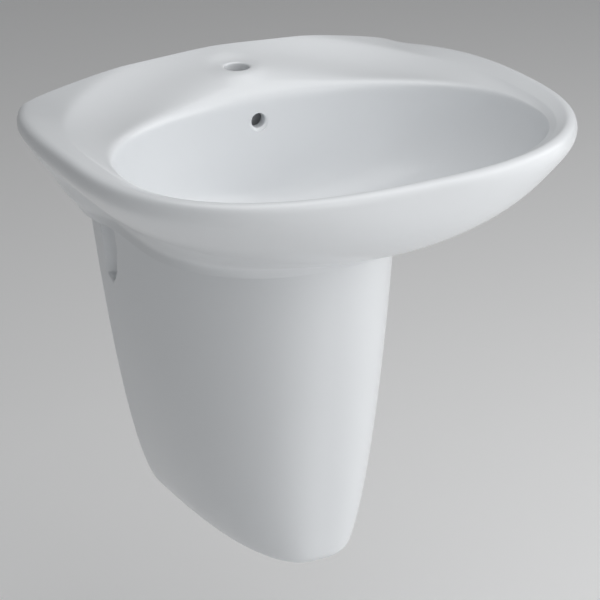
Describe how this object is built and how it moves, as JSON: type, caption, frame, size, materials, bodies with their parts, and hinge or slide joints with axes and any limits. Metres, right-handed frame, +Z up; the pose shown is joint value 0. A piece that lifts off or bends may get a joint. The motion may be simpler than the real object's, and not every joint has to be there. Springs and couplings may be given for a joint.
{
  "type": "wall-hung washbasin with semi-pedestal",
  "caption": "Wall-hung glazed washbasin with tap deck, soap ledges and overflow, over a half-height pedestal that hides its waste and bottle trap.",
  "frame": {"origin": "in the wall plane at the middle of the basin's back, 15 mm under the top of its arched back edge and level with the side and front rim", "axes": "+X along the width, to the right of someone facing the basin; +Y into the wall; +Z up"},
  "size_m": [0.6002, 0.4901, 0.5738],
  "materials": {
    "glaze": "white vitreous china under a clear gloss glaze, bare and matt on the faces against the wall",
    "chrome": "bright chrome on brass",
    "brass": "turned brass",
    "zinc": "zinc-plated steel",
    "rubber": "black seal rubber",
    "plastic": "white nylon"
  },
  "bodies": {
    "root": {"basin": "glaze", "semi_pedestal": "glaze", "waste_body": "chrome", "waste_top_seal": "rubber", "click_cartridge": "plastic", "waste_lower_seal": "rubber", "waste_washer": "plastic", "waste_backnut": "brass", "trap_inlet_nut": "chrome", "trap_inlet_seal": "rubber", "trap_inlet_tube": "chrome", "trap_gland_nut": "chrome", "trap_gland_seal": "rubber", "trap_body": "chrome", "trap_outlet_nut": "chrome", "trap_outlet_seal": "rubber", "outlet_pipe": "chrome", "wall_rosette": "chrome", "left_wall_stud": "zinc", "left_wall_bush": "plastic", "left_wall_washer": "zinc", "left_wall_nut": "zinc", "left_pedestal_screw": "zinc", "left_pedestal_washer": "plastic", "right_wall_stud": "zinc", "right_wall_bush": "plastic", "right_wall_washer": "zinc", "right_wall_nut": "zinc", "right_pedestal_screw": "zinc", "right_pedestal_washer": "plastic"},
    "plug": {"waste_plug": "chrome", "plug_seal": "rubber", "plug_stem": "brass"},
    "cup_carrier": {"trap_cup_seal": "rubber"},
    "cup": {"trap_cup": "chrome"}
  },
  "joints": [
    {"name": "plug_press", "type": "slide", "parent": "root", "child": "plug", "axis": [0, 0, -1], "range_m": [0, 0.009]},
    {"name": "trap_cup_travel", "type": "slide", "parent": "root", "child": "cup_carrier", "axis": [0, 0, -1], "range_m": [0, 0.012]},
    {"name": "trap_cup_turn", "type": "hinge", "parent": "cup_carrier", "child": "cup", "pos_m": [0, -0.205, -0.36], "axis": [0, 0, -1], "range_deg": [0, 1080]}
  ],
  "couplings": [
    {"joint": "trap_cup_travel", "follows": "trap_cup_turn", "m_per_rad": 0.00063662}
  ]
}
